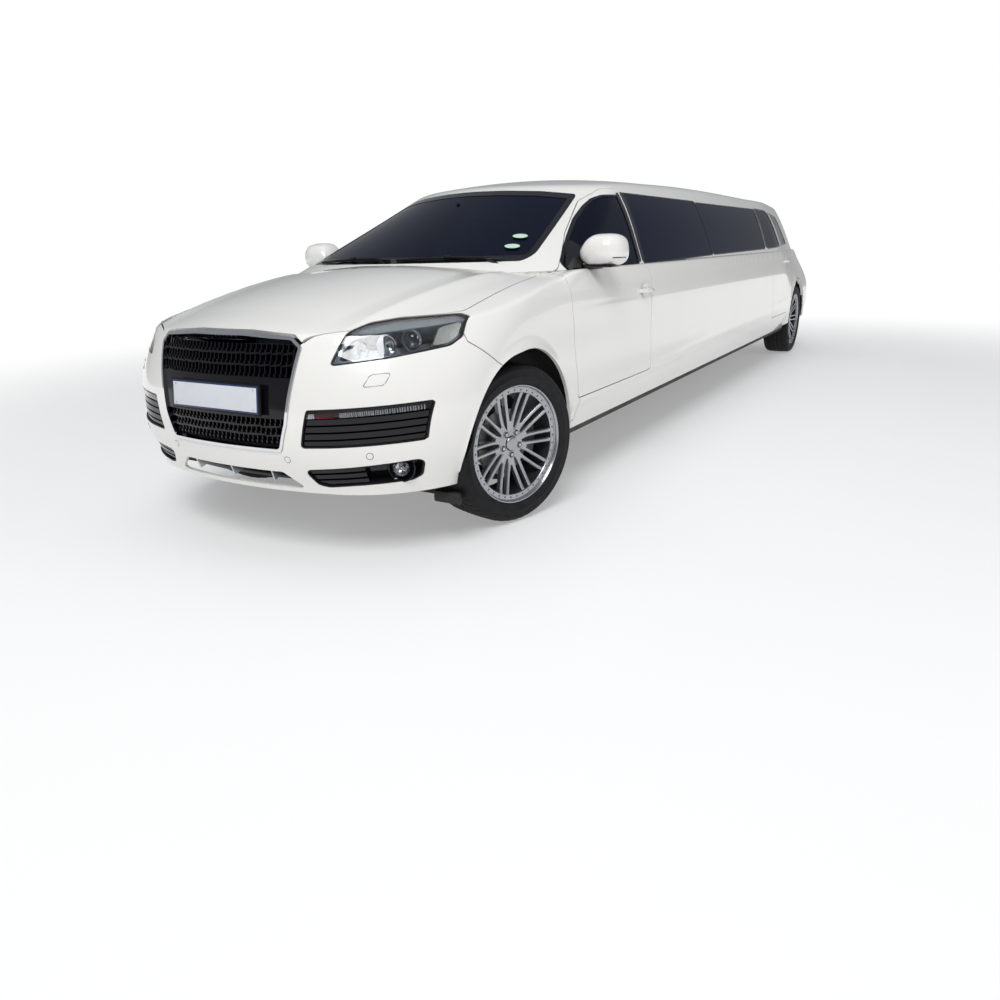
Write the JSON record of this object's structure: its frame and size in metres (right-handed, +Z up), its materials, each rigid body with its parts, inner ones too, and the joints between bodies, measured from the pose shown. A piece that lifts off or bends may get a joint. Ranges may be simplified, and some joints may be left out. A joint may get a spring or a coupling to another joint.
{
  "type": "stretch limousine",
  "caption": "White stretch limousine: long glazed cabin on a large estate car, trapezoid grille, swept lamps, spoked wheels, opening doors, bonnet and tailgate.",
  "frame": {"origin": "ground point under the centre of the overall box", "axes": "+X forward, +Y to the car's left, +Z up"},
  "size_m": [8.642, 2.184, 1.7],
  "materials": {
    "paint": "gloss white lacquer",
    "clear_glass": "lightly tinted",
    "dark_glass": "black privacy tint",
    "bright_trim": "polished",
    "black_plastic": "satin moulded",
    "lamp_glass": "clear",
    "lamp_housing": "dark with bright bowls",
    "underbody": "sealed black",
    "cast_metal": "as cast",
    "exhaust_steel": "dull",
    "dark_trim": "grained",
    "seat_leather": "grained",
    "cabinet": "lacquered",
    "red_lamp": "clear red",
    "tyre_rubber": "matt",
    "wheel_alloy": "machined silver",
    "disc_iron": "ground"
  },
  "bodies": {
    "body": {"body_sides": "paint", "roof_panel": "paint", "fenders": "paint", "front_bumper": "paint", "rear_bumper": "paint", "windscreen": "clear_glass", "side_windows": "dark_glass", "grille_frame": "bright_trim", "grille_bars": "black_plastic", "headlamp_lenses": "lamp_glass", "headlamp_housings": "lamp_housing", "bumper_vents": "black_plastic", "lower_intake": "black_plastic", "floor_pan": "underbody", "wheel_liners": "black_plastic", "front_suspension": "cast_metal", "rear_suspension": "cast_metal", "engine": "cast_metal", "driveline": "cast_metal", "exhaust": "exhaust_steel", "dashboard": "dark_trim", "steering_wheel": "dark_trim", "front_seats": "seat_leather", "partition": "dark_trim", "lounge_seats": "seat_leather", "bar_cabinet": "cabinet"},
    "bonnet": {"bonnet": "paint"},
    "tailgate": {"tailgate": "paint", "tail_glass": "dark_glass", "tail_lamps": "red_lamp"},
    "knuckle_left": {"knuckle_left": "cast_metal"},
    "knuckle_right": {"knuckle_right": "cast_metal"},
    "wheel_front_left": {"tyre_front_left": "tyre_rubber", "rim_front_left": "wheel_alloy", "brake_disc_front_left": "disc_iron"},
    "door_front_left": {"door_front_left": "paint", "door_glass_front_left": "dark_glass", "mirror_left": "paint"},
    "wheel_front_right": {"tyre_front_right": "tyre_rubber", "rim_front_right": "wheel_alloy", "brake_disc_front_right": "disc_iron"},
    "door_front_right": {"door_front_right": "paint", "door_glass_front_right": "dark_glass", "mirror_right": "paint"},
    "wheel_rear_left": {"tyre_rear_left": "tyre_rubber", "rim_rear_left": "wheel_alloy", "brake_disc_rear_left": "disc_iron"},
    "door_rear_left": {"door_rear_left": "paint", "door_glass_rear_left": "dark_glass"},
    "wheel_rear_right": {"tyre_rear_right": "tyre_rubber", "rim_rear_right": "wheel_alloy", "brake_disc_rear_right": "disc_iron"},
    "door_rear_right": {"door_rear_right": "paint", "door_glass_rear_right": "dark_glass"}
  },
  "joints": [
    {"name": "steer_left", "type": "hinge", "parent": "body", "child": "knuckle_left", "pos_m": [3.371, 0.7955, 0.3775], "axis": [0, 0, 1], "range_deg": [-19, 51]},
    {"name": "roll_front_left", "type": "hinge", "parent": "knuckle_left", "child": "wheel_front_left", "pos_m": [3.37927, 0.82434, 0.3775], "axis": [0.2756, 0.9613, 0], "continuous": true},
    {"name": "roll_rear_left", "type": "hinge", "parent": "body", "child": "wheel_rear_left", "pos_m": [-3.187, 0.838, 0.3775], "axis": [0, 1, 0], "continuous": true},
    {"name": "door_front_left_hinge", "type": "hinge", "parent": "body", "child": "door_front_left", "pos_m": [2.776, 0.95, 0.75], "axis": [0, 0, -1], "range_deg": [0, 65]},
    {"name": "door_rear_left_hinge", "type": "hinge", "parent": "body", "child": "door_rear_left", "pos_m": [-1.947, 0.95, 0.75], "axis": [0, 0, -1], "range_deg": [0, 65]},
    {"name": "steer_right", "type": "hinge", "parent": "body", "child": "knuckle_right", "pos_m": [3.371, -0.7955, 0.3775], "axis": [0, 0, 1], "range_deg": [-19, 51]},
    {"name": "roll_front_right", "type": "hinge", "parent": "knuckle_right", "child": "wheel_front_right", "pos_m": [3.36273, -0.82434, 0.3775], "axis": [0.2756, 0.9613, 0], "continuous": true},
    {"name": "roll_rear_right", "type": "hinge", "parent": "body", "child": "wheel_rear_right", "pos_m": [-3.187, -0.838, 0.3775], "axis": [0, 1, 0], "continuous": true},
    {"name": "door_front_right_hinge", "type": "hinge", "parent": "body", "child": "door_front_right", "pos_m": [2.776, -0.95, 0.75], "axis": [0, 0, 1], "range_deg": [0, 65]},
    {"name": "door_rear_right_hinge", "type": "hinge", "parent": "body", "child": "door_rear_right", "pos_m": [-1.947, -0.95, 0.75], "axis": [0, 0, 1], "range_deg": [0, 65]},
    {"name": "bonnet_hinge", "type": "hinge", "parent": "body", "child": "bonnet", "pos_m": [2.909, 0, 1.126], "axis": [0, -1, 0], "range_deg": [0, 34]},
    {"name": "tailgate_hinge", "type": "hinge", "parent": "body", "child": "tailgate", "pos_m": [-3.743, 0, 1.594], "axis": [0, 1, 0], "range_deg": [0, 75]}
  ],
  "couplings": [
    {"joint": "steer_right", "follows": "steer_left", "ratio": 1}
  ]
}
